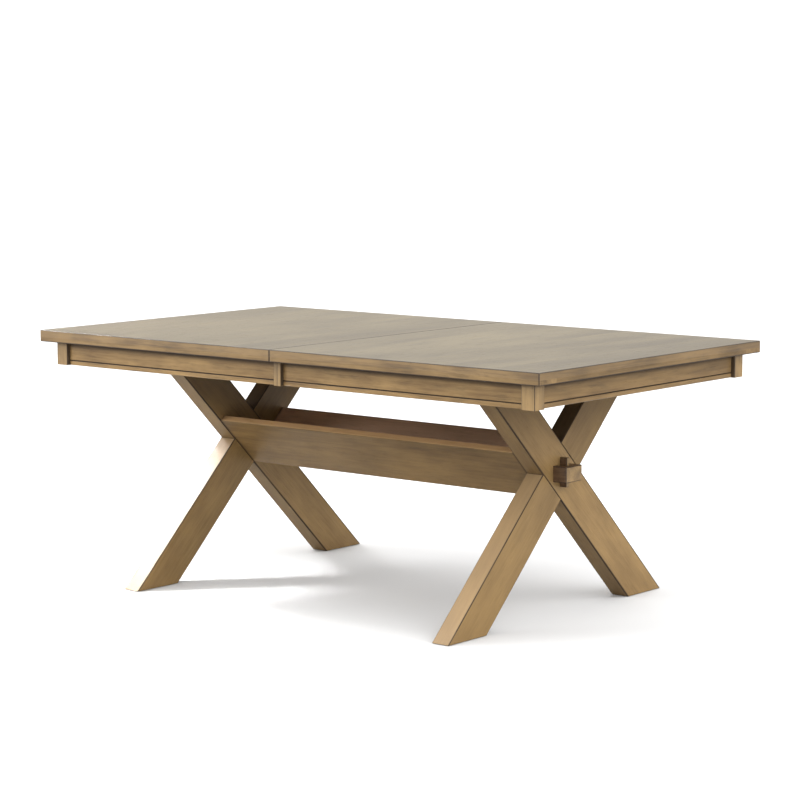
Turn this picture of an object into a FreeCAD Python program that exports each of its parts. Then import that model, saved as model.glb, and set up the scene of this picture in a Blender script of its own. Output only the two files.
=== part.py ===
import FreeCAD, Part
import math
import os
import Sketcher
from types import SimpleNamespace

# Extending dining table on two crossed frames, in millimetres.
# X runs along the table, the front long side faces -Y and Z is up.
# The origin is on the floor, under the middle of the top.

SIZES = {
    # Whole table, closed, and the leaf that the two halves part for
    "table_length": 1829,
    "table_width": 1067,
    "table_height": 750,
    "leaf_length": 508,
    "seam_gap": 0.5,
    # Top: a panel on a frame of build-up strips, with cross battens between them
    "panel_thickness": 20,
    "build_up_thickness": 14,
    "build_up_width": 75,
    "batten_width": 62,
    "batten_end_gap": 23.5,
    "top_easing": 1.5,
    # Skirt under the top: beaded aprons between posts that stand proud of them
    "apron_height": 69,
    "apron_thickness": 20,
    "apron_recess": 11,
    "side_inset": 32.5,
    "end_inset": 37,
    "post_width": 43,
    "seam_post_width": 12.25,
    "post_easing": 1.5,
    "bead_height": 13,
    "quirk_width": 2.6,
    "quirk_depth": 3,
    "bead_radius": 3,
    "apron_tenon_length": 12,
    "apron_tenon_thickness": 8,
    "apron_tenon_shoulder": 12,
    "brace_setback": 60,
    "brace_thickness": 22,
    "brace_height": 50,
    # Crossed frames
    "frame_setback": 310.1,
    "frame_thickness": 57,
    "beam_width": 117,
    "foot_inset": 112.6,
    "crossing_share": 0.5436,
    "leg_easing": 2,
    "glide_radius": 12,
    "glide_thickness": 2,
    "cap_end_gap": 80,
    "cap_width": 86,
    "cap_thickness": 28,
    "cap_gap": 1,
    "cap_bevel_length": 46,
    "cap_bevel_height": 14,
    "bolt_radius": 5,
    "bolt_head_radius": 9,
    "bolt_head_height": 6,
    "bolt_length": 90,
    "bolt_share": 0.3674,
    # Trough stretcher, its keel rail, the through tenons and their wedges
    "board_thickness": 20,
    "board_recess": 2,
    "trough_rise": 62,
    "keel_width": 88,
    "keel_shoulder": 6,
    "tenon_width": 75,
    "tenon_height": 44,
    "tenon_reach": 44.5,
    "tenon_drop": 3.5,
    "tenon_clearance": 0.25,
    "tenon_easing": 2,
    "wedge_width": 13,
    "wedge_top_length": 24,
    "wedge_bottom_length": 22,
    "wedge_above": 21.5,
    "wedge_below": 17,
    "wedge_easing": 1,
    "wedge_slot_relief": 3,
    # Geared slides: a fixed runner between two sliding rails, front and back
    "slide_share": 0.5061,
    "runner_width": 34,
    "runner_overhang": 12,
    "rail_width": 26,
    "rail_tail_gap": 27.9,
    "rail_end_gap": 12,
    "running_gap": 0.3,
    "slide_gap": 1,
    "tail_relief": 1,
    "tongue_depth": 7,
    "tongue_tip_gap": 0.5,
    "tongue_mouth": 8,
    "tongue_bottom": 12,
    "tongue_drop": 13,
    "tie_width": 60,
    "tie_thickness": 12,
    "tie_overhang": 2,
    "stop_length": 24,
    "stop_width": 14,
    "stop_height": 9,
    "stop_gap": 0.3,
    # Equalizer gears
    "gear_module": 2,
    "gear_height": 10,
    "gear_side_gap": 0.5,
    "gear_rise": 4.5,
    "gear_backlash": 0.2,
    "gear_slot_gap": 1,
    "rack_back": 3.5,
    "axle_radius": 4,
    "axle_clearance": 0.05,
    "axle_cap": 5,
    # Seam pins and the table locks
    "pin_radius": 4,
    "pin_clearance": 0.1,
    "pin_reach": 11,
    "pin_depth": 25,
    "pin_hole_depth": 13,
    "outer_pin_inset": 153.5,
    "lock_apron_gap": 28,
    "lock_setback": 30,
    "lock_plate_length": 40,
    "lock_plate_width": 30,
    "lock_plate_thickness": 3,
    "lever_thickness": 5,
    "lever_width": 12,
    "lever_hub_radius": 9,
    "lever_gap": 0.5,
    "lever_slot_gap": 0.8,
    "lever_tab_height": 10,
    "lever_tab_thickness": 3,
    "rivet_radius": 3,
    "rivet_head_radius": 6,
    "rivet_head_height": 2,
    "strike_radius": 3.5,
}

# Counts, shares and angles, which don't scale with the table
GEAR_TEETH = 20
RACK_SPARE_TEETH = 2
DEDENDUM_SHARE = 1.25
PRESSURE_ANGLE = math.radians(20)
FLANK_FACETS = 2
HOOK_OPENING_DEGREES = 30
HEXAGON_CORNERS = 6
BRACE_ANGLE = math.radians(45)

document = FreeCAD.newDocument("ExtendingTable")
sheet = document.addObject("Spreadsheet::Sheet", "sizes")
for row, (alias, amount) in enumerate(SIZES.items(), start=1):
    sheet.set(f"A{row}", alias)
    sheet.set(f"B{row}", str(amount))
    sheet.setAlias(f"B{row}", alias)
document.recompute()


class Measure:
    """A length with its present value and the sheet formula that gives it."""

    def __init__(self, value, formula):
        self.value = value
        self.formula = formula

    def __add__(self, other):
        other = measured(other)
        return Measure(self.value + other.value, f"({self.formula} + {other.formula})")

    def __sub__(self, other):
        other = measured(other)
        return Measure(self.value - other.value, f"({self.formula} - {other.formula})")

    def __mul__(self, other):
        other = measured(other)
        return Measure(self.value * other.value, f"({self.formula} * {other.formula})")

    def __truediv__(self, other):
        other = measured(other)
        return Measure(self.value / other.value, f"({self.formula} / {other.formula})")

    def __neg__(self):
        return Measure(-self.value, f"(-1 * {self.formula})")

    __radd__ = __add__
    __rmul__ = __mul__


def measured(amount):
    """A Measure as it is, or a plain number as one."""
    if isinstance(amount, Measure):
        return amount
    return Measure(amount, f"({amount})")


def root(amount):
    return Measure(math.sqrt(amount.value), f"sqrt({amount.formula})")


size = SimpleNamespace(
    **{alias: Measure(amount, f"sizes.{alias}") for alias, amount in SIZES.items()}
)
nodes = {}


def bind(feature, path, amount):
    feature.setExpression(path, measured(amount).formula)


def start_body(label):
    """An empty body for one sub-part, which may hold several separate solids."""
    body = document.addObject("PartDesign::Body", label)
    body.Label = label
    body.AllowCompound = True
    nodes[label] = body
    return body


def start_sketch(body, role, offset):
    """A sketch on one of the body's own origin planes, moved along its normal."""
    sketch = body.newObject("Sketcher::SketchObject", f"{body.Name}_sketch")
    plane = [feature for feature in body.Origin.OriginFeatures if feature.Role == role]
    sketch.AttachmentSupport = [(plane[0], "")]
    sketch.MapMode = "FlatFace"
    bind(sketch, "AttachmentOffset.Base.z", offset)
    return sketch


def hold_point(sketch, element, position, across, up):
    """Dimension one point of a sketch from the sketch's origin."""
    for kind, amount, axis in (("DistanceX", across, -2), ("DistanceY", up, -1)):
        amount = measured(amount)
        if amount.value == 0:
            sketch.addConstraint(Sketcher.Constraint("PointOnObject", element, position, axis))
            continue
        index = sketch.addConstraint(
            Sketcher.Constraint(kind, -1, 1, element, position, amount.value)
        )
        bind(sketch, f"Constraints[{index}]", amount)


def draw_outline(sketch, corners):
    """A closed outline of straight sides through the given corners."""
    points = [FreeCAD.Vector(measured(x).value, measured(y).value, 0) for x, y in corners]
    first = sketch.GeometryCount
    count = len(points)
    for index, point in enumerate(points):
        sketch.addGeometry(Part.LineSegment(point, points[(index + 1) % count]), False)
    for index, (across, up) in enumerate(corners):
        following = first + (index + 1) % count
        sketch.addConstraint(Sketcher.Constraint("Coincident", first + index, 2, following, 1))
        hold_point(sketch, first + index, 1, across, up)


def draw_circles(sketch, centres, radius):
    """Circles of one radius on the given centres."""
    radius = measured(radius)
    for across, up in centres:
        centre = FreeCAD.Vector(measured(across).value, measured(up).value, 0)
        circle = sketch.addGeometry(
            Part.Circle(centre, FreeCAD.Vector(0, 0, 1), radius.value), False
        )
        hold_point(sketch, circle, 3, across, up)
        index = sketch.addConstraint(Sketcher.Constraint("Radius", circle, radius.value))
        bind(sketch, f"Constraints[{index}]", radius)


def pad(body, sketch, length):
    feature = body.newObject("PartDesign::Pad", f"{body.Name}_pad")
    feature.Profile = sketch
    bind(feature, "Length", length)
    return feature


def pocket(body, sketch, length):
    """Cut from the sketch's plane, the same way as a pad would grow."""
    feature = body.newObject("PartDesign::Pocket", f"{body.Name}_pocket")
    feature.Profile = sketch
    feature.Reversed = True
    bind(feature, "Length", length)
    return feature


def pad_outline(body, role, start, length, corners):
    sketch = start_sketch(body, role, start)
    draw_outline(sketch, corners)
    return pad(body, sketch, length)


def pocket_outline(body, role, start, length, corners):
    sketch = start_sketch(body, role, start)
    draw_outline(sketch, corners)
    return pocket(body, sketch, length)


def pad_circles(body, role, start, length, centres, radius):
    sketch = start_sketch(body, role, start)
    draw_circles(sketch, centres, radius)
    return pad(body, sketch, length)


def pocket_circles(body, role, start, length, centres, radius):
    sketch = start_sketch(body, role, start)
    draw_circles(sketch, centres, radius)
    return pocket(body, sketch, length)


def rectangle(across_low, up_low, across_high, up_high):
    return [
        (across_low, up_low),
        (across_high, up_low),
        (across_high, up_high),
        (across_low, up_high),
    ]


def ordered(first, second):
    """Two measures with the smaller one first."""
    return (first, second) if first.value < second.value else (second, first)


def ease(body, base, amount, wanted, kind="Chamfer"):
    """Ease the edges of a feature for which wanted(edge) holds."""
    document.recompute()
    names = [
        f"Edge{index}" for index, edge in enumerate(base.Shape.Edges, start=1) if wanted(edge)
    ]
    feature = body.newObject(f"PartDesign::{kind}", f"{body.Name}_easing")
    feature.Base = (base, names)
    bind(feature, "Size" if kind == "Chamfer" else "Radius", amount)
    body.Tip = feature
    return feature


def runs_along(edge, direction):
    """True for a straight edge that is parallel to a direction."""
    if edge.Curve.TypeId != "Part::GeomLine":
        return False
    return abs(abs(edge.tangentAt(edge.FirstParameter).dot(direction)) - 1) < 1e-6


def middle(edge):
    return (edge.Vertexes[0].Point + edge.Vertexes[-1].Point) / 2


ALONG_X = FreeCAD.Vector(1, 0, 0)
ALONG_Y = FreeCAD.Vector(0, 1, 0)
ALONG_Z = FreeCAD.Vector(0, 0, 1)
SIDES = {"left": -1, "right": 1}
FACES = {"front": -1, "back": 1}

# Heights that several pieces share
top_surface = size.table_height
panel_underside = top_surface - size.panel_thickness
top_underside = panel_underside - size.build_up_thickness
apron_bottom = top_underside - size.apron_height
cap_bottom = apron_bottom + size.cap_gap
cap_top = cap_bottom + size.cap_thickness
runner_top = top_underside - size.slide_gap
rail_bottom = cap_top + size.slide_gap
tie_bottom = cap_top - size.tie_thickness

# Places that several pieces share
half_length = size.table_length / 2
half_width = size.table_width / 2
half_gap = size.seam_gap / 2
travel = size.leaf_length / 2
post_face = half_width - size.side_inset
end_post_face = half_length - size.end_inset
apron_face = post_face - size.apron_recess
apron_back = apron_face - size.apron_thickness
end_apron_face = end_post_face - size.apron_recess
end_apron_back = end_apron_face - size.apron_thickness
post_inside = post_face - size.post_width
end_post_inside = end_post_face - size.post_width
seam_post_end = half_gap + size.seam_post_width
frame_outer = half_length - size.frame_setback
frame_inner = frame_outer - size.frame_thickness
cap_middle = (frame_inner + frame_outer) / 2
cap_inside = cap_middle - size.cap_width / 2
cap_outside = cap_middle + size.cap_width / 2
cap_reach = apron_back - size.cap_end_gap
strip_inside = half_width - size.build_up_width
end_strip_inside = half_length - size.build_up_width
seam_batten = half_gap + size.batten_width / 2
end_batten = end_strip_inside - size.batten_end_gap - size.batten_width / 2
batten_places = [seam_batten, (seam_batten + end_batten) / 2, end_batten]
outer_pin_line = half_width - size.outer_pin_inset
bolt_line = half_width * size.bolt_share
slide_line = half_width * size.slide_share
lock_line = apron_back - size.lock_apron_gap

# Slope of the crossed beams: how far they spread for each millimetre of drop
foot_centre = half_width - size.foot_inset
crossing_height = size.table_height * size.crossing_share
crossing_rise = crossing_height - size.glide_thickness
tenon_middle = crossing_height - size.tenon_drop
tenon_bottom = tenon_middle - size.tenon_height / 2
tenon_top = tenon_middle + size.tenon_height / 2
spread = foot_centre / crossing_rise
slant = root(spread * spread + 1)
half_beam = size.beam_width * slant / 2

# Slides, seen across the table: distances from the middle of a fixed runner
runner_half = size.runner_width / 2
rail_near = runner_half + size.running_gap
rail_far = rail_near + size.rail_width
pitch_radius = size.gear_module * GEAR_TEETH / 2
tooth_pitch = size.gear_module * math.pi
rack_tip = pitch_radius - size.gear_module
rack_root = pitch_radius + size.gear_module * DEDENDUM_SHARE
rack_far = rack_root + size.rack_back
gear_bottom = cap_top + size.gear_rise + size.gear_side_gap
gear_top = gear_bottom + size.gear_height
slot_bottom = gear_bottom - size.gear_side_gap
slot_top = gear_top + size.gear_side_gap
rack_back_line = (rack_far + rail_far) / 2
tongue_middle = top_underside - size.tongue_drop
rail_tail = cap_inside - size.rail_tail_gap
stop_near = rail_tail - size.stop_length
tie_edge = stop_near - travel - size.stop_gap
rail_head = end_apron_back - size.rail_end_gap
rack_teeth = math.ceil(travel.value / tooth_pitch.value) + 2 * RACK_SPARE_TEETH


def frame_outline(low, high, sign):
    """The slanted outline of a beam, whose foot is at sign times +Y, between two heights."""
    corners = []
    for height, edge in ((low, -1), (low, 1), (high, 1), (high, -1)):
        centre = (crossing_height - height) * spread
        corners.append(((centre + half_beam * edge) * sign, height))
    return corners


def make_beam(label, start, sign, lap_start):
    """One beam of a crossed frame, half lapped on one side and mortised for the tenon."""
    body = start_body(label)
    blank = pad_outline(
        body,
        "YZ_Plane",
        start,
        size.frame_thickness,
        frame_outline(size.glide_thickness, cap_bottom, sign),
    )
    direction = FreeCAD.Vector(0, -sign * spread.value, 1).normalize()
    ease(body, blank, size.leg_easing, lambda edge: runs_along(edge, direction))
    lap_rise = half_beam / spread
    pocket_outline(
        body,
        "YZ_Plane",
        lap_start,
        size.frame_thickness / 2,
        [
            (-half_beam, crossing_height),
            (0, crossing_height - lap_rise),
            (half_beam, crossing_height),
            (0, crossing_height + lap_rise),
        ],
    )
    mortise_across = size.tenon_width / 2 + size.tenon_clearance
    pocket_outline(
        body,
        "YZ_Plane",
        start,
        size.frame_thickness,
        rectangle(
            -mortise_across,
            tenon_bottom - size.tenon_clearance,
            mortise_across,
            tenon_top + size.tenon_clearance,
        ),
    )
    return body


def make_frames():
    """Both crossed frames. The beam that ends in the back foot is whole on its +X side."""
    for side, direction in SIDES.items():
        start = frame_inner if direction > 0 else -frame_outer
        middle_plane = start + size.frame_thickness / 2
        to_back = make_beam(f"{side}_leg_back_foot", start, 1, start)
        to_front = make_beam(f"{side}_leg_front_foot", start, -1, middle_plane)
        depth = size.bolt_length - size.cap_thickness
        for body, face in ((to_back, -1), (to_front, 1)):
            hole = [(cap_middle * direction, bolt_line * face)]
            pocket_circles(body, "XY_Plane", cap_bottom - depth, depth, hole, size.bolt_radius)


def bolt_centres(direction):
    """Where the bolts of one frame stand: one in each upper arm."""
    return [(cap_middle * direction, bolt_line * face) for face in (-1, 1)]


def make_cap_rails():
    """Rails across the tops of the frames, with bevelled ends, which carry the runners."""
    for side, direction in SIDES.items():
        body = start_body(f"cap_rail_{side}")
        start = cap_middle * direction - size.cap_width / 2
        bevel_top = cap_bottom + size.cap_bevel_height
        bevel_end = cap_reach - size.cap_bevel_length
        outline = [
            (-bevel_end, cap_bottom),
            (bevel_end, cap_bottom),
            (cap_reach, bevel_top),
            (cap_reach, cap_top),
            (-cap_reach, cap_top),
            (-cap_reach, bevel_top),
        ]
        pad_outline(body, "YZ_Plane", start, size.cap_width, outline)
        bolts = bolt_centres(direction)
        pocket_circles(body, "XY_Plane", cap_bottom, size.cap_thickness, bolts, size.bolt_radius)


def make_cap_bolts():
    """Hexagon-head bolts that draw the cap rails down on the arms."""
    body = start_body("cap_bolts")
    centres = bolt_centres(SIDES["left"]) + bolt_centres(SIDES["right"])
    shank_start = cap_top - size.bolt_length
    pad_circles(body, "XY_Plane", shank_start, size.bolt_length, centres, size.bolt_radius)
    heads = start_sketch(body, "XY_Plane", cap_top)
    corner_angle = 2 * math.pi / HEXAGON_CORNERS
    for across, up in centres:
        corners = [
            (
                across + size.bolt_head_radius * math.cos(corner_angle * corner),
                up + size.bolt_head_radius * math.sin(corner_angle * corner),
            )
            for corner in range(HEXAGON_CORNERS)
        ]
        draw_outline(heads, corners)
    pad(body, heads, size.bolt_head_height)


def make_foot_glides():
    """Nylon glides, one under each foot."""
    body = start_body("foot_glides")
    centres = [(cap_middle * side, foot_centre * face) for side in (-1, 1) for face in (-1, 1)]
    pad_circles(body, "XY_Plane", 0, size.glide_thickness, centres, size.glide_radius)


# The outer faces of the trough boards lie a little behind the lower faces of the arms
board_outer = half_beam - size.board_recess * slant
board_inner = board_outer - size.board_thickness * slant
trough_top = crossing_height + size.trough_rise
trough_apex = crossing_height - board_outer / spread
trough_inner_apex = crossing_height - board_inner / spread


def make_trough_boards():
    """Two boards that lean apart like the arms and meet in a mitre at the bottom."""
    outer_at_top = (trough_top - trough_apex) * spread
    edge_across = size.board_thickness / slant
    edge_up = size.board_thickness * spread / slant
    for face, sign in FACES.items():
        body = start_body(f"trough_board_{face}")
        outline = [
            (0, trough_apex),
            (outer_at_top * sign, trough_top),
            ((outer_at_top - edge_across) * sign, trough_top + edge_up),
            (0, trough_inner_apex),
        ]
        blank = pad_outline(body, "YZ_Plane", -frame_inner, frame_inner * 2, outline)
        ease(
            body,
            blank,
            size.leg_easing,
            lambda edge: runs_along(edge, ALONG_X)
            and middle(edge).z > crossing_height.value,
        )


def make_stretcher_rail():
    """Keel rail in the bottom of the trough, with a through tenon at each end."""
    body = start_body("stretcher_rail")
    half_keel = size.keel_width / 2
    top = tenon_top + size.keel_shoulder
    bottom = tenon_bottom - size.keel_shoulder
    shoulder = trough_inner_apex + half_keel / spread
    half_bottom = (bottom - trough_inner_apex) * spread
    outline = [
        (-half_bottom, bottom),
        (half_bottom, bottom),
        (half_keel, shoulder),
        (half_keel, top),
        (-half_keel, top),
        (-half_keel, shoulder),
    ]
    pad_outline(body, "YZ_Plane", -frame_inner, frame_inner * 2, outline)
    half_tenon = size.tenon_width / 2
    tenon_length = size.frame_thickness + size.tenon_reach
    tenon_end = frame_inner + tenon_length
    section = rectangle(-half_tenon, tenon_bottom, half_tenon, tenon_top)
    for start in (frame_inner, -tenon_end):
        blank = pad_outline(body, "YZ_Plane", start, tenon_length, section)
    ease(
        body,
        blank,
        size.tenon_easing,
        lambda edge: abs(middle(edge).x) > tenon_end.value - size.tenon_easing.value,
    )
    half_slot = size.wedge_width / 2 + size.tenon_clearance
    for direction in SIDES.values():
        outline = wedge_outline(direction, size.wedge_slot_relief, size.tenon_clearance)
        pocket_outline(body, "XZ_Plane", -half_slot, half_slot * 2, outline)


def wedge_outline(direction, relief, clearance):
    """A wedge seen from the front: upright where it bears on the frame, tapered outside."""
    low = tenon_bottom - size.wedge_below
    high = tenon_top + size.wedge_above
    near = (frame_outer - relief) * direction
    return [
        (near, low),
        ((frame_outer + size.wedge_bottom_length + clearance) * direction, low),
        ((frame_outer + size.wedge_top_length + clearance) * direction, high),
        (near, high),
    ]


def make_wedges():
    """Tusk wedges that lock the tenons against the outer faces of the frames."""
    half = size.wedge_width / 2
    for side, direction in SIDES.items():
        body = start_body(f"tusk_wedge_{side}")
        outline = wedge_outline(direction, measured(0), measured(0))
        blank = pad_outline(body, "XZ_Plane", -half, size.wedge_width, outline)
        ease(body, blank, size.wedge_easing, lambda edge: True)


def make_runners():
    """Fixed runners along the table, grooved on both sides and slotted for the gears."""
    reach = cap_outside + size.runner_overhang
    mouth = size.tongue_mouth / 2
    bottom = size.tongue_bottom / 2
    core = runner_half - size.tongue_depth
    for face, sign in FACES.items():
        body = start_body(f"fixed_runner_{face}")
        line = slide_line * sign
        right_side = [
            (line + runner_half, cap_top),
            (line + runner_half, tongue_middle - mouth),
            (line + core, tongue_middle - bottom),
            (line + core, tongue_middle + bottom),
            (line + runner_half, tongue_middle + mouth),
            (line + runner_half, runner_top),
        ]
        left_side = [
            (line - runner_half, runner_top),
            (line - runner_half, tongue_middle + mouth),
            (line - core, tongue_middle + bottom),
            (line - core, tongue_middle - bottom),
            (line - runner_half, tongue_middle - mouth),
            (line - runner_half, cap_top),
        ]
        pad_outline(body, "YZ_Plane", -reach, reach * 2, right_side + left_side)
        slot_radius = pitch_radius + size.gear_module + size.gear_slot_gap
        pocket_circles(
            body, "XY_Plane", slot_bottom, slot_top - slot_bottom, [(0, line)], slot_radius
        )
        axle_length = slot_top + size.axle_cap - cap_top
        pocket_circles(body, "XY_Plane", cap_top, axle_length, [(0, line)], size.axle_radius)


def make_runner_ties():
    """Slats under the runners that keep them parallel and stop the sliding rails."""
    body = start_body("runner_ties")
    reach = slide_line + rail_far + size.tie_overhang
    sketch = start_sketch(body, "XY_Plane", tie_bottom)
    for direction in SIDES.values():
        low, high = ordered(tie_edge * direction, (tie_edge - size.tie_width) * direction)
        draw_outline(sketch, rectangle(low, -reach, high, reach))
    pad(body, sketch, size.tie_thickness)


def make_gear_axles():
    """Steel pins in the runners that the pinions turn on."""
    body = start_body("gear_axles")
    centres = [(0, slide_line * face) for face in (-1, 1)]
    length = slot_top + size.axle_cap - cap_top
    pad_circles(body, "XY_Plane", cap_top, length, centres, size.axle_radius)


def polar(radius, angle):
    return FreeCAD.Vector(radius * math.cos(angle), radius * math.sin(angle), 0)


def tooth_outline(centre):
    """One tooth and the gap after it, as points from the sheet's own sizes."""
    module = sheet.gear_module
    pitch = module * GEAR_TEETH / 2
    tip = pitch + module
    dedendum = pitch - module * DEDENDUM_SHARE
    base = pitch * math.cos(PRESSURE_ANGLE)
    half_tooth = math.pi / (2 * GEAR_TEETH) - sheet.gear_backlash / (2 * pitch)

    def flank_angle(radius):
        roll = math.acos(min(1, base / radius))
        return half_tooth + math.tan(PRESSURE_ANGLE) - PRESSURE_ANGLE - math.tan(roll) + roll

    radii = [base + (tip - base) * step / FLANK_FACETS for step in range(FLANK_FACETS + 1)]
    rising = [polar(radius, centre - flank_angle(radius)) for radius in radii]
    falling = [polar(radius, centre + flank_angle(radius)) for radius in reversed(radii)]
    foot = polar(dedendum, centre - flank_angle(base))
    heel = polar(dedendum, centre + flank_angle(base))
    return [foot, *rising, *falling, heel]


def make_pinions():
    """Involute pinions with a tooth towards each rack, on the middle of each runner."""
    points = []
    for tooth in range(GEAR_TEETH):
        points += tooth_outline(math.pi / 2 + 2 * math.pi * tooth / GEAR_TEETH)
    outline = Part.makePolygon(points + points[:1])
    disc = Part.Face(outline).extrude(FreeCAD.Vector(0, 0, sheet.gear_height))
    bore = Part.makeCylinder(sheet.axle_radius + sheet.axle_clearance, sheet.gear_height)
    for face, sign in FACES.items():
        pinion = document.addObject("Part::Feature", f"pinion_{face}")
        pinion.Label = f"pinion_{face}"
        pinion.Shape = disc.cut(bore)
        bind(pinion, "Placement.Base.y", slide_line * sign)
        bind(pinion, "Placement.Base.z", gear_bottom)
        nodes[pinion.Label] = pinion


def rail_side(direction, sign):
    """Which side of its runner a rail lies: +1 towards +Y. The right half's rails are inside."""
    return -sign if direction > 0 else sign


def make_sliding_rail(side, direction, face, sign):
    """A rail with a dovetail tongue and a rack groove, fixed under one half of the top."""
    body = start_body(f"{face}_sliding_rail_{side}")
    line = slide_line * sign
    out = rail_side(direction, sign)
    flare = (size.tongue_bottom - size.tongue_mouth) / (size.tongue_depth * 2)
    root_half = size.tongue_mouth / 2 - size.running_gap - flare * size.running_gap
    tip_half = size.tongue_bottom / 2 - size.running_gap - flare * size.tongue_tip_gap
    tip = runner_half - size.tongue_depth + size.tongue_tip_gap
    profile = [
        (rail_near, rail_bottom),
        (rail_far, rail_bottom),
        (rail_far, top_underside),
        (rail_near, top_underside),
        (rail_near, tongue_middle + root_half),
        (tip, tongue_middle + tip_half),
        (tip, tongue_middle - tip_half),
        (rail_near, tongue_middle - root_half),
        (rail_near, slot_top),
        (rack_far, slot_top),
        (rack_far, slot_bottom),
        (rail_near, slot_bottom),
    ]
    outline = [(line + across * out, up) for across, up in profile]
    start = -rail_tail if direction > 0 else -rail_head
    pad_outline(body, "YZ_Plane", start, rail_tail + rail_head, outline)
    low, high = ordered(line + rail_near * out, line + rail_far * out)
    tail_low, tail_high = ordered(-rail_tail * direction, measured(0))
    pocket_outline(
        body,
        "XY_Plane",
        top_underside - size.tail_relief,
        size.tail_relief,
        rectangle(tail_low, low, tail_high, high),
    )


def make_stop_blocks(side, direction):
    """Blocks under the tails of the sliding rails, which meet the ties at full travel."""
    body = start_body(f"stop_blocks_{side}")
    sketch = start_sketch(body, "XY_Plane", rail_bottom - size.stop_height)
    tail, near = ordered(-rail_tail * direction, -stop_near * direction)
    for sign in FACES.values():
        line = slide_line * sign + rack_back_line * rail_side(direction, sign)
        half = size.stop_width / 2
        draw_outline(sketch, rectangle(tail, line - half, near, line + half))
    pad(body, sketch, size.stop_height)


def make_racks(side, direction):
    """Toothed racks in the grooves of one half's sliding rails, in mesh with the pinions."""
    body = start_body(f"racks_{side}")
    spare = tooth_pitch * RACK_SPARE_TEETH
    length = tooth_pitch * rack_teeth
    start = spare - length if direction > 0 else -spare
    height = slot_top - slot_bottom
    sketch = start_sketch(body, "XY_Plane", slot_bottom)
    for sign in FACES.values():
        line = slide_line * sign
        out = rail_side(direction, sign)
        low, high = ordered(line + rack_root * out, line + rack_far * out)
        draw_outline(sketch, rectangle(start, low, start + length, high))
    pad(body, sketch, height)
    slope = math.tan(PRESSURE_ANGLE)
    half_pitch_width = (tooth_pitch / 2 - size.gear_backlash) / 2
    half_root = half_pitch_width + (rack_root - pitch_radius) * slope
    half_tip = half_pitch_width - size.gear_module * slope
    tooth = start + tooth_pitch / 2
    teeth = start_sketch(body, "XY_Plane", slot_bottom)
    for sign in FACES.values():
        line = slide_line * sign
        out = rail_side(direction, sign)
        draw_outline(
            teeth,
            [
                (tooth - half_root, line + rack_root * out),
                (tooth + half_root, line + rack_root * out),
                (tooth + half_tip, line + rack_tip * out),
                (tooth - half_tip, line + rack_tip * out),
            ],
        )
    first = pad(body, teeth, height)
    document.recompute()
    row = body.newObject("PartDesign::LinearPattern", f"{body.Name}_teeth")
    row.Originals = [first]
    row.Direction = (teeth, ["H_Axis"])
    bind(row, "Length", tooth_pitch * (rack_teeth - 1))
    row.Occurrences = rack_teeth
    body.Tip = row


def make_top(side, direction):
    """One half of the top: panel, build-up strips and cross battens."""
    seam = half_gap * direction
    end = half_length * direction
    low, high = ordered(seam, end)
    body = start_body(f"top_panel_{side}")
    blank = pad_outline(
        body,
        "XY_Plane",
        panel_underside,
        size.panel_thickness,
        rectangle(low, -half_width, high, half_width),
    )

    ease(
        body,
        blank,
        size.top_easing,
        lambda edge: runs_along(edge, ALONG_Z)
        or middle(edge).z > top_surface.value - size.top_easing.value,
    )
    pins = [
        (outer_pin_line * place, panel_underside + size.panel_thickness / 2)
        for place in (-1, 0, 1)
    ]
    if direction < 0:
        pocket_circles(
            body, "YZ_Plane", -size.pin_depth, size.pin_depth, pins, size.pin_radius
        )
        seam_pins = start_body("seam_pins_left")
        pin_length = size.pin_depth + size.pin_reach
        pad_circles(seam_pins, "YZ_Plane", -size.pin_depth, pin_length, pins, size.pin_radius)
    else:
        hole_radius = size.pin_radius + size.pin_clearance
        pocket_circles(body, "YZ_Plane", 0, size.pin_hole_depth, pins, hole_radius)

    def shows(edge):
        """True for the edges of a strip that stay in view, which are eased like the panel's."""
        point = middle(edge)
        if point.z > panel_underside.value - size.top_easing.value:
            return False
        at_side = abs(point.y) > half_width.value - size.top_easing.value
        at_end = abs(point.x) > half_length.value - size.top_easing.value
        upright = runs_along(edge, ALONG_Z)
        return at_side or (at_end and not upright)

    for face, sign in FACES.items():
        strip = start_body(f"{face}_build_up_{side}")
        near, far = ordered(strip_inside * sign, half_width * sign)
        blank = pad_outline(
            strip,
            "XY_Plane",
            top_underside,
            size.build_up_thickness,
            rectangle(low, near, high, far),
        )
        ease(strip, blank, size.top_easing, shows)
    strip = start_body(f"end_build_up_{side}")
    near, far = ordered(end_strip_inside * direction, end)
    blank = pad_outline(
        strip,
        "XY_Plane",
        top_underside,
        size.build_up_thickness,
        rectangle(near, -strip_inside, far, strip_inside),
    )
    ease(strip, blank, size.top_easing, shows)
    battens = start_body(f"cross_battens_{side}")
    sketch = start_sketch(battens, "XY_Plane", top_underside)
    half_batten = size.batten_width / 2
    for place in batten_places:
        centre = place * direction
        draw_outline(
            sketch,
            rectangle(
                centre - half_batten, -strip_inside, centre + half_batten, strip_inside
            ),
        )
    pad(battens, sketch, size.build_up_thickness)


def apron_section(face_place, back_place):
    """Section of an apron: flat face, a quirk above the bead, flat back."""
    inward = 1 if back_place.value > face_place.value else -1
    bead_top = apron_bottom + size.bead_height
    return [
        (face_place, apron_bottom),
        (face_place, bead_top),
        (face_place + size.quirk_depth * inward, bead_top + size.quirk_width / 2),
        (face_place, bead_top + size.quirk_width),
        (face_place, top_underside),
        (back_place, top_underside),
        (back_place, apron_bottom),
    ]


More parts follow.
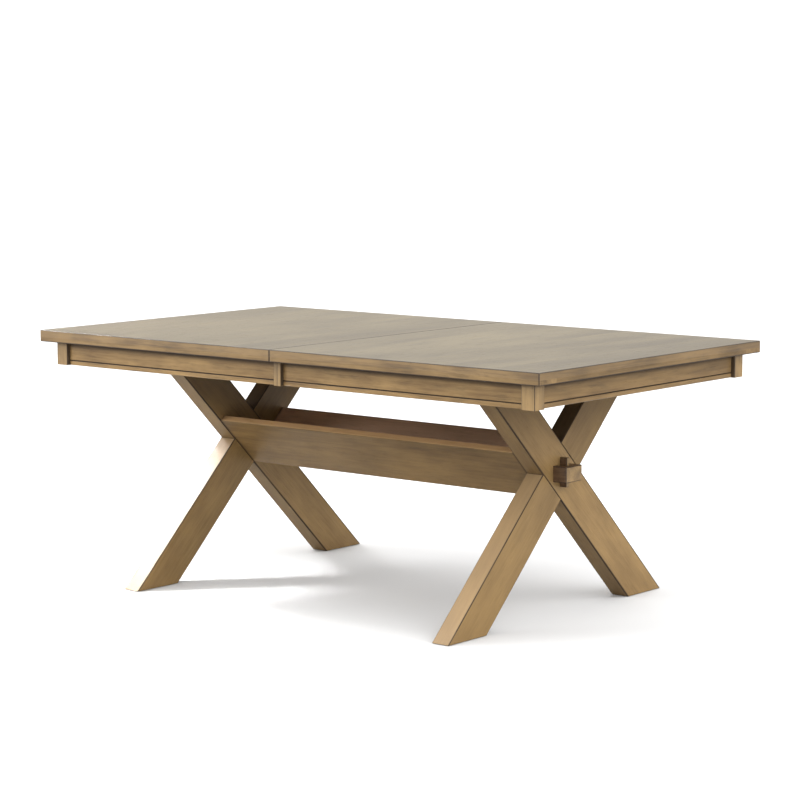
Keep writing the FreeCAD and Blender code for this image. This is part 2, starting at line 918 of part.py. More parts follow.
def round_bead(body, blank, direction, face_place, axis):
    """Round the lower corner of the bead and the corner beside its quirk."""
    corner_heights = (apron_bottom.value, apron_bottom.value + size.bead_height.value)

    def bead_edge(edge):
        point = middle(edge)
        across = point.y if axis == "y" else point.x
        on_face = abs(across - face_place.value) < size.bead_radius.value / 10
        at_corner = min(abs(point.z - height) for height in corner_heights)
        return runs_along(edge, direction) and on_face and at_corner < size.bead_radius.value / 10

    return ease(body, blank, size.bead_radius, bead_edge, "Fillet")


def make_aprons(side, direction):
    """Front, back and end aprons of one half, tenoned into the corner posts."""
    tongue_low = apron_bottom + size.apron_tenon_shoulder
    tongue_high = top_underside - size.apron_tenon_shoulder
    tenon_edge = (size.apron_thickness - size.apron_tenon_thickness) / 2
    low, high = ordered(seam_post_end * direction, end_post_inside * direction)
    for face, sign in FACES.items():
        body = start_body(f"{face}_apron_{side}")
        outline = apron_section(apron_face * sign, apron_back * sign)
        blank = pad_outline(body, "YZ_Plane", low, high - low, outline)
        round_bead(body, blank, ALONG_X, apron_face * sign, "y")
        near, far = ordered(
            (apron_face - tenon_edge) * sign, (apron_back + tenon_edge) * sign
        )
        tenon_start = high if direction > 0 else low - size.apron_tenon_length
        pad_outline(
            body,
            "YZ_Plane",
            tenon_start,
            size.apron_tenon_length,
            rectangle(near, tongue_low, far, tongue_high),
        )
    body = start_body(f"end_apron_{side}")
    outline = apron_section(end_apron_face * direction, end_apron_back * direction)
    blank = pad_outline(body, "XZ_Plane", -post_inside, post_inside * 2, outline)
    round_bead(body, blank, ALONG_Y, end_apron_face * direction, "x")
    near, far = ordered(
        (end_apron_face - tenon_edge) * direction, (end_apron_back + tenon_edge) * direction
    )
    reach = post_inside + size.apron_tenon_length
    pad_outline(
        body,
        "XZ_Plane",
        -reach,
        reach * 2,
        rectangle(near, tongue_low, far, tongue_high),
    )


def make_posts(side, direction):
    """Corner posts with mortises for the apron tenons, and half posts at the seam."""
    tongue_low = apron_bottom + size.apron_tenon_shoulder
    mortise_height = size.apron_height - size.apron_tenon_shoulder * 2
    tenon_edge = (size.apron_thickness - size.apron_tenon_thickness) / 2
    near_end, far_end = ordered(end_post_inside * direction, end_post_face * direction)
    seam_near, seam_far = ordered(half_gap * direction, seam_post_end * direction)
    seam_posts = start_body(f"seam_posts_{side}")
    seam_sketch = start_sketch(seam_posts, "XY_Plane", apron_bottom)
    for face, sign in FACES.items():
        body = start_body(f"{face}_corner_post_{side}")
        near, far = ordered(post_inside * sign, post_face * sign)
        blank = pad_outline(
            body,
            "XY_Plane",
            apron_bottom,
            size.apron_height,
            rectangle(near_end, near, far_end, far),
        )

        def outer_corner(edge, sign=sign):
            point = middle(edge)
            outside = point.x * direction > end_post_face.value - size.post_width.value / 2
            outside = outside or point.y * sign > post_face.value - size.post_width.value / 2
            return runs_along(edge, ALONG_Z) and outside

        ease(body, blank, size.post_easing, outer_corner)
        mortise_near, mortise_far = ordered(
            (apron_face - tenon_edge) * sign, (apron_back + tenon_edge) * sign
        )
        mortise_low, mortise_high = ordered(
            end_post_inside * direction,
            (end_post_inside + size.apron_tenon_length) * direction,
        )
        pocket_outline(
            body,
            "XY_Plane",
            tongue_low,
            mortise_height,
            rectangle(mortise_low, mortise_near, mortise_high, mortise_far),
        )
        end_low, end_high = ordered(
            (end_apron_face - tenon_edge) * direction,
            (end_apron_back + tenon_edge) * direction,
        )
        end_near, end_far = ordered(
            post_inside * sign, (post_inside + size.apron_tenon_length) * sign
        )
        pocket_outline(
            body,
            "XY_Plane",
            tongue_low,
            mortise_height,
            rectangle(end_low, end_near, end_high, end_far),
        )
        near, far = ordered(apron_back * sign, post_face * sign)
        draw_outline(seam_sketch, rectangle(seam_near, near, seam_far, far))
    pad(seam_posts, seam_sketch, size.apron_height)


def make_corner_braces(side, direction):
    """Diagonal blocks that hold the corners of the skirt square."""
    body = start_body(f"corner_braces_{side}")
    outer = size.brace_setback
    inner = outer + size.brace_thickness / math.sin(BRACE_ANGLE)
    sketch = start_sketch(body, "XY_Plane", top_underside - size.brace_height)
    for sign in FACES.values():
        draw_outline(
            sketch,
            [
                ((end_apron_back - outer) * direction, apron_back * sign),
                (end_apron_back * direction, (apron_back - outer) * sign),
                (end_apron_back * direction, (apron_back - inner) * sign),
                ((end_apron_back - inner) * direction, apron_back * sign),
            ],
        )
    pad(body, sketch, size.brace_height)


# Table locks: a hooked lever on the left half that swings over a pin on the right one
lever_top = top_underside - size.lock_plate_thickness - size.lever_gap
lever_bottom = lever_top - size.lever_thickness
lever_reach = size.lock_setback * 2


def lock_plate_sketch(body, direction):
    sketch = start_sketch(body, "XY_Plane", top_underside - size.lock_plate_thickness)
    half_plate = size.lock_plate_length / 2
    centre = size.lock_setback * direction
    for sign in FACES.values():
        line = lock_line * sign
        draw_outline(
            sketch,
            rectangle(
                centre - half_plate,
                line - size.lock_plate_width / 2,
                centre + half_plate,
                line + size.lock_plate_width / 2,
            ),
        )
    return sketch


def make_lock_plates():
    """Plates under the left seam batten, each with a headed rivet for its lever."""
    body = start_body("lock_plates_left")
    pad(body, lock_plate_sketch(body, -1), size.lock_plate_thickness)
    centres = [(-size.lock_setback, lock_line * sign) for sign in (-1, 1)]
    head_top = lever_bottom - size.lever_gap
    shank = top_underside - size.lock_plate_thickness - head_top
    pad_circles(body, "XY_Plane", head_top, shank, centres, size.rivet_radius)
    head_bottom = head_top - size.rivet_head_height
    pad_circles(
        body, "XY_Plane", head_bottom, size.rivet_head_height, centres, size.rivet_head_radius
    )


def make_lock_strikes():
    """Plates under the right seam batten, each with the pin that a lever hooks."""
    body = start_body("lock_strikes_right")
    pad(body, lock_plate_sketch(body, 1), size.lock_plate_thickness)
    centres = [(size.lock_setback, lock_line * sign) for sign in (-1, 1)]
    bottom = lever_bottom - size.lever_gap
    length = top_underside - size.lock_plate_thickness - bottom
    pad_circles(body, "XY_Plane", bottom, length, centres, size.strike_radius)


def make_lock_lever(face, sign):
    """A hooked lever, drawn locked along +X and then swung back towards the middle."""

    def add(kind, name, **sizes):
        feature = document.addObject(f"Part::{kind}", f"lever_{face}_{name}")
        for path, amount in sizes.items():
            bind(feature, path.replace("_", "."), amount)
        return feature

    arm = add(
        "Box",
        "arm",
        Length=lever_reach,
        Width=size.lever_width,
        Height=size.lever_thickness,
        Placement_Base_y=-size.lever_width / 2,
    )
    hub = add("Cylinder", "hub", Radius=size.lever_hub_radius, Height=size.lever_thickness)
    slot_half = size.strike_radius + size.lever_slot_gap
    hook = add(
        "Cylinder",
        "hook",
        Radius=size.lever_hub_radius,
        Height=size.lever_thickness,
        Placement_Base_x=lever_reach,
    )
    tab_side = -size.lever_hub_radius if sign > 0 else (
        size.lever_hub_radius - size.lever_tab_thickness
    )
    tab = add(
        "Box",
        "tab",
        Length=size.lever_hub_radius * 2,
        Width=size.lever_tab_thickness,
        Height=size.lever_tab_height + size.lever_thickness,
        Placement_Base_x=lever_reach - size.lever_hub_radius,
        Placement_Base_y=tab_side,
        Placement_Base_z=-size.lever_tab_height,
    )
    bore = add(
        "Cylinder",
        "bore",
        Radius=size.rivet_radius + size.axle_clearance,
        Height=size.lever_thickness,
    )
    seat = add(
        "Cylinder",
        "seat",
        Radius=slot_half,
        Height=size.lever_thickness,
        Placement_Base_x=lever_reach,
    )
    outer = add(
        "Cylinder", "sweep", Radius=lever_reach + slot_half, Height=size.lever_thickness
    )
    inner = add(
        "Cylinder", "core", Radius=lever_reach - slot_half, Height=size.lever_thickness
    )
    for sector in (outer, inner):
        sector.Angle = HOOK_OPENING_DEGREES
        start_angle = 0 if sign > 0 else -HOOK_OPENING_DEGREES
        sector.Placement.Rotation = FreeCAD.Rotation(ALONG_Z, start_angle)
    mouth = document.addObject("Part::Cut", f"lever_{face}_mouth")
    mouth.Base = outer
    mouth.Tool = inner
    blank = document.addObject("Part::MultiFuse", f"lever_{face}_blank")
    blank.Shapes = [arm, hub, hook, tab]
    voids = document.addObject("Part::MultiFuse", f"lever_{face}_voids")
    voids.Shapes = [bore, seat, mouth]
    lever = document.addObject("Part::Cut", f"lock_lever_{face}")
    lever.Base = blank
    lever.Tool = voids
    lever.Label = f"lock_lever_{face}"
    lever.Placement.Rotation = FreeCAD.Rotation(ALONG_Z, -90 * sign)
    bind(lever, "Placement.Base.x", -size.lock_setback)
    bind(lever, "Placement.Base.y", lock_line * sign)
    bind(lever, "Placement.Base.z", lever_bottom)
    nodes[lever.Label] = lever


def make_half(side, direction):
    make_top(side, direction)
    make_aprons(side, direction)
    make_posts(side, direction)
    make_corner_braces(side, direction)
    for face, sign in FACES.items():
        make_sliding_rail(side, direction, face, sign)
    make_stop_blocks(side, direction)
    make_racks(side, direction)


def check_and_write():
    """Stop on any failed object or bad shape, then write one file for each sub-part."""
    document.recompute()
    failed = [
        item.Label for item in document.Objects if {"Invalid", "Error"} & set(item.State)
    ]
    if failed:
        raise RuntimeError(f"failed objects: {failed}")
    for label, item in nodes.items():
        if item.Shape.isNull() or not item.Shape.isValid():
            raise RuntimeError(f"bad shape: {label}")
    os.makedirs("parts", exist_ok=True)
    for label, item in nodes.items():
        item.Shape.exportStep(os.path.join("parts", f"{label}.step"))
        print(label, len(item.Shape.Solids), "solids", round(item.Shape.Volume / 1000), "cm3")
    print(len(nodes), "sub-parts")


make_frames()
make_cap_rails()
make_cap_bolts()
make_foot_glides()
make_trough_boards()
make_stretcher_rail()
make_wedges()
make_runners()
make_runner_ties()
make_gear_axles()
make_pinions()
for half_name, half_direction in SIDES.items():
    make_half(half_name, half_direction)
make_lock_plates()
make_lock_strikes()
for lock_name, lock_sign in FACES.items():
    make_lock_lever(lock_name, lock_sign)
check_and_write()
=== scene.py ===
import bpy
import math
from mathutils import Matrix, Vector


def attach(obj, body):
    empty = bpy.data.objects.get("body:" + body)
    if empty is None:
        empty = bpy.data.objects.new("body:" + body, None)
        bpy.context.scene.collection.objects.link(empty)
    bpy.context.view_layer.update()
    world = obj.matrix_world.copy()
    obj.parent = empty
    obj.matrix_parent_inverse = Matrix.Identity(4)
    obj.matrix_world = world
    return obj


# Extending dining table in stained and glazed wood, on crossed frames with a trough stretcher.
# Metres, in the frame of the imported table: X along it, the front side faces -Y, Z up.

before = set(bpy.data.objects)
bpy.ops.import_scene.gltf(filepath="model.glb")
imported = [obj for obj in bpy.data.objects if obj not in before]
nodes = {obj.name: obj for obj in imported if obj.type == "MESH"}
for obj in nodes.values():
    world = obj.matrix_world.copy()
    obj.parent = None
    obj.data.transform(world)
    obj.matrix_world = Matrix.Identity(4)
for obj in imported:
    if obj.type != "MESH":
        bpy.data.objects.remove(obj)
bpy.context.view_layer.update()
bpy.ops.object.select_all(action="DESELECT")
scene = bpy.context.scene

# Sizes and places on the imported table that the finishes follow.
# The top: the leaves of its veneer, the underside of its panel, and half the gap at the seam
HALF_LENGTH, HALF_WIDTH, HEIGHT, SLAB_LOW, PANEL_LOW = 0.9145, 0.5335, 0.750, 0.716, 0.730
LEAF_WIDTH, SEAM = 0.1523, 0.00025
# The skirt: the quirk above its bead, and the outer faces of its posts
SKIRT_LOW, QUIRK_LOW, QUIRK_TOP = 0.647, 0.6587, 0.6639
POST, POST_FACE, END_POST_FACE, SEAM_POST_END = 0.043, 0.501, 0.8775, 0.0125
# The frames: height of the crossing, and how far out and how high the feet start
FRAME_INNER, FRAME_OUTER, BEAM_HALF = 0.5474, 0.6044, 0.0585
CROSSING, FOOT_Y, GLIDE = 0.4077, 0.4209, 0.002
# The trough: lowest point and spread of its outer faces, and what sets its upper edges apart
BOARD_APEX, BOARD_SLOPE, LIP_LEVEL = 0.3292, 1.03746, 0.6200
TENON_END, TENON_HALF, TENON_LOW, TENON_TOP = 0.6489, 0.0375, 0.3822, 0.4262
# The wedge: how far its foot stands out from the frame, and how much more for each metre up
WEDGE_HALF, WEDGE_LOW, WEDGE_TOP, WEDGE_FOOT, WEDGE_TAPER = 0.0065, 0.3652, 0.4477, 0.0220, 0.0242

# A point that lies no deeper than this counts as on a face
SKIN = 0.0012


# ---------------------------------------------------------------- node helpers


class Tree:
    """A material's node tree, with short calls for the nodes that the finishes use."""

    def __init__(self, name):
        self.material = bpy.data.materials.new(name)
        self.material.use_nodes = True
        self.tree = self.material.node_tree
        self.tree.nodes.clear()
        self.output = self.tree.nodes.new("ShaderNodeOutputMaterial")
        self.shader = self.tree.nodes.new("ShaderNodeBsdfPrincipled")
        self.tree.links.new(self.shader.outputs["BSDF"], self.output.inputs["Surface"])
        self.place = self.tree.nodes.new("ShaderNodeTexCoord").outputs["Object"]

    def join(self, source, target):
        """Links a socket to another, or gives it a plain value."""
        if isinstance(source, bpy.types.NodeSocket):
            self.tree.links.new(source, target)
        else:
            target.default_value = source

    def math(self, operation, first, second=0.0, third=0.0):
        node = self.tree.nodes.new("ShaderNodeMath")
        node.operation = operation
        for socket, value in zip(node.inputs, (first, second, third)):
            self.join(value, socket)
        return node.outputs[0]

    def ranged(self, value, start, end, at_start, at_end):
        """A smooth change between two amounts while the value goes from start to end."""
        node = self.tree.nodes.new("ShaderNodeMapRange")
        node.interpolation_type = "SMOOTHSTEP"
        self.join(value, node.inputs["Value"])
        limits = {"From Min": start, "From Max": end, "To Min": at_start, "To Max": at_end}
        for name, amount in limits.items():
            self.join(amount, node.inputs[name])
        return node.outputs["Result"]

    def growing(self, value, start, end, most=1.0):
        """Nothing at the start and the most at the end."""
        return self.ranged(value, start, end, 0.0, most)

    def fading(self, value, start, end, most=1.0):
        """The most at the start and nothing at the end."""
        return self.ranged(value, start, end, most, 0.0)

    def swing(self, pattern, amount, base):
        """The base moved up and down by a pattern that runs from 0 to 1."""
        return self.math("MULTIPLY_ADD", self.math("SUBTRACT", pattern, 0.5), amount, base)

    def placed(self, source, turn=(0, 0, 0), scale=(1, 1, 1), shift=(0, 0, 0)):
        node = self.tree.nodes.new("ShaderNodeMapping")
        self.join(source, node.inputs["Vector"])
        node.inputs["Rotation"].default_value = turn
        node.inputs["Scale"].default_value = scale
        node.inputs["Location"].default_value = shift
        return node.outputs["Vector"]

    def noise(self, vector, scale, detail, rough=0.5):
        node = self.tree.nodes.new("ShaderNodeTexNoise")
        self.join(vector, node.inputs["Vector"])
        node.inputs["Scale"].default_value = scale
        node.inputs["Detail"].default_value = detail
        node.inputs["Roughness"].default_value = rough
        return node.outputs["Fac"]

    def layer(self, vector, along, across, detail, rough, axis=0):
        """Noise drawn out along the grain, with its scale along and across that axis."""
        scale = [across, across, across]
        scale[axis] = along
        return self.noise(self.placed(vector, scale=scale), 1.0, detail, rough)

    def split(self, vector):
        node = self.tree.nodes.new("ShaderNodeSeparateXYZ")
        self.join(vector, node.inputs[0])
        return node.outputs[0], node.outputs[1], node.outputs[2]

    def combined(self, x, y, z):
        node = self.tree.nodes.new("ShaderNodeCombineXYZ")
        for socket, value in zip(node.inputs, (x, y, z)):
            self.join(value, socket)
        return node.outputs[0]

    def mixed(self, amount, first, second):
        """The first colour, and the second one over it by an amount from 0 to 1."""
        node = self.tree.nodes.new("ShaderNodeMix")
        node.data_type = "RGBA"
        self.join(amount, node.inputs[0])
        for colour, socket in ((first, node.inputs[6]), (second, node.inputs[7])):
            linked = isinstance(colour, bpy.types.NodeSocket)
            self.join(colour if linked else (*colour, 1.0), socket)
        return node.outputs[2]

    def ramp(self, value, stops):
        node = self.tree.nodes.new("ShaderNodeValToRGB")
        ramp = node.color_ramp
        while len(ramp.elements) < len(stops):
            ramp.elements.new(0.5)
        for element, (place, colour) in zip(ramp.elements, stops):
            element.position = place
            element.color = (*colour, 1.0)
        self.join(value, node.inputs["Fac"])
        return node.outputs["Color"]

    def largest(self, *values):
        result = values[0]
        for value in values[1:]:
            result = self.math("MAXIMUM", result, value)
        return result

    def second_nearest(self, first, second, third):
        """The middle one of three distances: how far a point of a box's skin is from an edge."""
        low, high = self.math("MINIMUM", first, second), self.math("MAXIMUM", first, second)
        return self.math("MAXIMUM", low, self.math("MINIMUM", high, third))

    def between(self, value, low, high):
        """How far a value lies inside the span from low to high."""
        off_middle = self.math("ABSOLUTE", self.math("SUBTRACT", value, (low + high) / 2))
        return self.math("SUBTRACT", (high - low) / 2, off_middle)

    def bump(self, height, distance, strength):
        node = self.tree.nodes.new("ShaderNodeBump")
        node.inputs["Strength"].default_value = strength
        node.inputs["Distance"].default_value = distance
        self.join(height, node.inputs["Height"])
        self.join(node.outputs["Normal"], self.shader.inputs["Normal"])


# ---------------------------------------------------------------- stain, glaze and lacquer

# Light and dark tone of each stain
TAN = (0.225, 0.143, 0.057), (0.100, 0.060, 0.024)
# The back beams: the tan tones made lighter, as painted light
BACK_BEAM = (0.243, 0.154, 0.062), (0.108, 0.065, 0.026)
APRON = (0.261, 0.165, 0.066), (0.117, 0.069, 0.028)
END_APRON = (0.210, 0.131, 0.053), (0.093, 0.056, 0.024)
RIM = (0.184, 0.117, 0.049), (0.081, 0.050, 0.022)
END_RIM = (0.144, 0.090, 0.037), (0.064, 0.039, 0.016)
TOP = (0.110, 0.086, 0.046), (0.057, 0.043, 0.023)
TROUGH = (0.190, 0.117, 0.046), (0.084, 0.050, 0.020)
TROUGH_INSIDE = (0.44, 0.295, 0.205), (0.30, 0.200, 0.137)
# The upper edges of the trough boards: a lighter tone as painted light
LIT_LIP_TONES = (0.38, 0.233, 0.110), (0.265, 0.162, 0.076)
DARK_JOINT = (0.130, 0.075, 0.038), (0.050, 0.027, 0.014)
RAW = (0.30, 0.20, 0.105), (0.20, 0.125, 0.062)

# Colours that lie over a stain
# Dark colour for the glaze and for painted shade
GLAZE_AND_SHADE = (0.012, 0.008, 0.007)
SMUDGE = (0.042, 0.034, 0.020)
# A paler tone laid on as a painted highlight
HIGHLIGHT_TONE = (0.323, 0.234, 0.146)

# How strongly each part of the figure moves the tone, hides the stain or roughens the lacquer
LINE_SWING, FIBRE_SWING = 2.2, 0.45
SMUDGE_COVER, PORE_COVER, PORE_DARKNESS = 0.55, 0.3, 0.5
LIGHT_SHARE = 0.55
DARK_STOP, MIDDLE_STOP, LIGHT_STOP = 0.12, 0.5, 0.86
LINE_ROUGHNESS, PORE_ROUGHNESS, GLAZE_ROUGHNESS = 0.1, 0.15, 0.25
LINE_RELIEF, PORE_RELIEF, RELIEF_DEPTH = 0.5, 0.6, 0.0003

# Turns that bring the direction of the fibres on to X
GRAIN_TURNS = {
    "x": (0, 0, 0),
    "y": (0, 0, math.radians(-90)),
    "z": (0, math.radians(90), 0),
}


def beam_turn(sign):
    """Brings the direction of a beam whose foot is at sign times +Y on to X."""
    fibre = Vector((0, FOOT_Y * sign, GLIDE - CROSSING)).normalized()
    side = Vector((1, 0, 0))
    return tuple(Matrix((fibre, side, fibre.cross(side))).to_euler("XYZ"))


def grain(tree, direction, seed, lines_across, mottle):
    """The figure of a board, in layers that run from 0 to 1.

    Its direction is an axis, or a turn for the slanted beams, and its seed shifts the pattern.
    """
    turned = tree.placed(
        tree.place,
        turn=GRAIN_TURNS.get(direction, direction),
        shift=(seed, seed * 0.7, seed * 1.3),
    )
    along, across, up = tree.split(turned)
    # The growth lines, pores and smudges wander a little across the board
    bend = tree.layer(turned, along=1.4, across=4.0, detail=2.0, rough=0.5)
    bent = tree.combined(
        along,
        tree.math("MULTIPLY_ADD", bend, 0.06, across),
        tree.math("MULTIPLY_ADD", bend, 0.05, up),
    )
    clouds = mottle * 0.45
    pores = tree.layer(bent, along=24.0, across=800.0, detail=1.0, rough=0.5)
    smudges = tree.layer(bent, along=12.0, across=62.0, detail=3.0, rough=0.62)
    return {
        "lines": tree.layer(bent, along=4.0, across=lines_across, detail=4.0, rough=0.6),
        "mottling": tree.layer(turned, along=clouds, across=mottle, detail=3.0, rough=0.55),
        "fibres": tree.layer(turned, along=10.0, across=500.0, detail=2.0, rough=0.55),
        "pores": tree.growing(pores, start=0.62, end=0.74),
        "smudges": tree.growing(smudges, start=0.53, end=0.72),
    }


def stain(tree, figure, tones, streaks=0.5, mottling=1.6):
    """Colour of the stained wood: streaks and mottling between its light and dark tone."""
    light, dark = tones
    tone = tree.swing(figure["lines"], LINE_SWING * streaks, 0.5)
    tone = tree.swing(figure["mottling"], mottling, tone)
    tone = tree.swing(figure["fibres"], FIBRE_SWING, tone)
    middle = tuple(a * LIGHT_SHARE + b * (1 - LIGHT_SHARE) for a, b in zip(light, dark))
    colour = tree.ramp(tone, [(DARK_STOP, dark), (MIDDLE_STOP, middle), (LIGHT_STOP, light)])
    smudged = tree.math("MULTIPLY", figure["smudges"], SMUDGE_COVER * streaks)
    colour = tree.mixed(smudged, colour, SMUDGE)
    in_pores = tree.math("MULTIPLY", figure["pores"], PORE_COVER)
    return tree.mixed(in_pores, colour, tuple(part * PORE_DARKNESS for part in dark))


def seal(tree, figure, colour, darkening, rough, relief=0.35, gloss=0.3):
    """Dark glaze over the stain where it gathers, and painted shade where the mask carries it,
    then the lacquer's gloss and the fine relief.
    """
    base = rough - LINE_ROUGHNESS / 2
    roughness = tree.math("MULTIPLY_ADD", figure["lines"], LINE_ROUGHNESS, base)
    if darkening is not None:
        # The glaze was wiped off unevenly, and the painted shade is made as uneven
        left_on = tree.ranged(figure["mottling"], 0.25, 0.75, at_start=0.75, at_end=1.0)
        uneven = tree.math("MULTIPLY", darkening, left_on)
        colour = tree.mixed(uneven, colour, GLAZE_AND_SHADE)
        roughness = tree.math("MULTIPLY_ADD", uneven, GLAZE_ROUGHNESS, roughness)
    roughness = tree.math("MULTIPLY_ADD", figure["pores"], PORE_ROUGHNESS, roughness)
    tree.join(colour, tree.shader.inputs["Base Color"])
    tree.join(roughness, tree.shader.inputs["Roughness"])
    height = tree.math(
        "SUBTRACT",
        tree.math("MULTIPLY", figure["lines"], LINE_RELIEF),
        tree.math("MULTIPLY", figure["pores"], PORE_RELIEF),
    )
    tree.bump(height, RELIEF_DEPTH, relief)
    tree.shader.inputs["Specular IOR Level"].default_value = gloss
    return tree.material


def edge_glaze(tree, distance, width=0.0034, most=0.97):
    """Dark where the distance to an edge is small."""
    return tree.fading(distance, width * 0.35, width, most)


# ---------------------------------------------------------------- finishes of the top


def slab_edge(tree):
    """Distance to the nearest edge of half of the top, and to its end and side faces."""
    x, y, z = tree.split(tree.place)
    in_x = tree.between(tree.math("ABSOLUTE", x), SEAM, HALF_LENGTH)
    in_y = tree.between(y, -HALF_WIDTH, HALF_WIDTH)
    in_z = tree.between(z, SLAB_LOW, HEIGHT)
    return tree.second_nearest(in_x, in_y, in_z), in_x, in_y


def veneer_figure(tree, x, y, z):
    """Leaves of veneer side by side, each with its own part of the pattern, grain along Y."""
    leaf = tree.math("FLOOR", tree.math("DIVIDE", x, LEAF_WIDTH))
    offset = tree.math("MULTIPLY", leaf, 0.731)
    spot = tree.combined(x, tree.math("ADD", y, offset), tree.math("ADD", z, offset))
    pores = tree.layer(spot, along=22.0, across=700.0, detail=1.0, rough=0.5, axis=1)
    smudges = tree.layer(spot, along=6.0, across=40.0, detail=3.0, rough=0.6, axis=1)
    figure = {
        "lines": tree.layer(spot, along=3.0, across=75.0, detail=4.0, rough=0.6, axis=1),
        "mottling": tree.layer(spot, along=1.7, across=5.0, detail=3.0, rough=0.5, axis=1),
        "fibres": tree.layer(spot, along=9.0, across=480.0, detail=2.0, rough=0.55, axis=1),
        "pores": tree.growing(pores, start=0.62, end=0.74),
        "smudges": tree.growing(smudges, start=0.55, end=0.72),
    }
    return figure, offset


# The border faces of the top share these with the strips below, so that the figure carries on
LONG_RIM_SEED, END_RIM_SEED = 1.7, 2.9


def rim_figure(tree, direction, seed):
    return grain(tree, direction, seed, lines_across=120.0, mottle=12.0)


def top_material():
    """Veneered panel: its face, the raw underside and the part of its edge band that shows."""
    tree = Tree("glazed veneer top")
    edge, in_x, in_y = slab_edge(tree)
    x, y, z = tree.split(tree.place)
    figure, offset = veneer_figure(tree, x, y, z)
    veneer = stain(tree, figure, TOP, streaks=0.55)
    # Some leaves are a little darker than others
    leaf_tint = tree.noise(tree.combined(offset, 0.0, 0.0), scale=3.1, detail=0.0)
    darker = tree.growing(leaf_tint, start=0.35, end=0.65, most=0.35)
    veneer = tree.mixed(darker, veneer, TOP[1])
    # The border faces show the edge band, with its grain along each side
    off_seam = tree.math("GREATER_THAN", tree.math("ABSOLUTE", x), 0.5)
    on_end = tree.math("MULTIPLY", tree.math("LESS_THAN", in_x, SKIN), off_seam)
    on_side = tree.math("LESS_THAN", in_y, SKIN)
    side_band = stain(tree, rim_figure(tree, "x", LONG_RIM_SEED), RIM)
    end_band = stain(tree, rim_figure(tree, "y", END_RIM_SEED), END_RIM)
    band = tree.mixed(on_end, side_band, end_band)
    below = tree.math("LESS_THAN", z, PANEL_LOW + 0.0005)
    face = tree.mixed(below, veneer, RAW[1])
    colour = tree.mixed(tree.largest(on_end, on_side), face, band)
    # Glaze also lies along the seam, less of it towards the front
    by_seam = tree.fading(tree.math("ABSOLUTE", x), start=0.002, end=0.009, most=0.5)
    backward = tree.ranged(y, -HALF_WIDTH, -0.1, at_start=0.3, at_end=1.0)
    by_seam = tree.math("MULTIPLY", by_seam, backward)
    darkening = tree.largest(edge_glaze(tree, edge), by_seam)
    darkening = tree.math("MULTIPLY", darkening, tree.math("SUBTRACT", 1.0, below))
    return seal(tree, figure, colour, darkening, rough=0.36, relief=0.2)


def rim_material(name, direction, seed, tones):
    """The built-up edge, which carries on the band of the border faces."""
    tree = Tree(name)
    edge = slab_edge(tree)[0]
    figure = rim_figure(tree, direction, seed)
    colour = stain(tree, figure, tones)
    return seal(tree, figure, colour, edge_glaze(tree, edge), rough=0.42, gloss=0.2)


# ---------------------------------------------------------------- finishes of the skirt


def apron_material(name, direction, seed, tones, mottling):
    """Apron with dark glaze in the quirk above its bead and beside the posts, and painted shadow
    under the top.
    """
    tree = Tree(name)
    x, y, z = tree.split(tree.place)
    figure = grain(tree, direction, seed, lines_across=95.0, mottle=10.0)
    in_quirk = tree.between(z, QUIRK_LOW, QUIRK_TOP)
    quirk = tree.growing(in_quirk, start=0.0, end=0.0012, most=0.92)
    # Painted shadow under the top, darkest just below it
    top_shadow = tree.growing(z, start=SLAB_LOW - 0.022, end=SLAB_LOW - 0.006)
    if direction == "x":
        in_length = tree.between(tree.math("ABSOLUTE", x), SEAM_POST_END, END_POST_FACE - POST)
    else:
        in_length = tree.between(y, POST - POST_FACE, POST_FACE - POST)
    beside = tree.fading(in_length, start=0.0008, end=0.004, most=0.8)
    darkening = tree.largest(quirk, top_shadow, beside)
    colour = stain(tree, figure, tones, mottling=mottling)
    return seal(tree, figure, colour, darkening, rough=0.42, gloss=0.18)


def post_material():
    """Square posts of the skirt, with dark edges, painted shadow under the top and painted shade
    on the sides where they return to it.
    """
    tree = Tree("upright post wood")
    x, y, z = tree.split(tree.place)
    across, deep = tree.math("ABSOLUTE", x), tree.math("ABSOLUTE", y)
    from_end = tree.math("SUBTRACT", END_POST_FACE, across)
    from_side = tree.math("SUBTRACT", POST_FACE, deep)
    corner_edge = tree.largest(
        tree.between(across, END_POST_FACE - POST, END_POST_FACE),
        tree.between(deep, POST_FACE - POST, POST_FACE),
    )
    seam_edge = tree.largest(tree.between(across, SEAM, SEAM_POST_END), from_side)
    at_seam = tree.math("LESS_THAN", across, 0.1)
    at_corner = tree.math("SUBTRACT", 1.0, at_seam)
    seam_edge = tree.math("MULTIPLY", at_seam, seam_edge)
    edge = tree.math("MULTIPLY_ADD", at_corner, corner_edge, seam_edge)
    # The seam posts have the fainter edge lines
    fainter = tree.math("MULTIPLY_ADD", at_seam, -0.5, 1.0)
    line = tree.math("MULTIPLY", edge_glaze(tree, edge, width=0.0024), fainter)
    # Painted shadow under the top
    top_shadow = tree.growing(z, start=SLAB_LOW - 0.014, end=SLAB_LOW - 0.001, most=0.85)
    # Painted shade on the sides that return to the aprons, but not on the bottom
    behind = tree.math("GREATER_THAN", tree.math("MINIMUM", from_side, from_end), 0.0016)
    above_bottom = tree.math("GREATER_THAN", z, SKIRT_LOW + 0.0008)
    return_shade = tree.math("MULTIPLY", tree.math("MULTIPLY", behind, 0.85), above_bottom)
    darkening = tree.largest(line, top_shadow, return_shade)
    figure = grain(tree, "z", seed=3.7, lines_across=150.0, mottle=16.0)
    return seal(tree, figure, stain(tree, figure, TAN), darkening, rough=0.4)


# ---------------------------------------------------------------- finishes of the frames


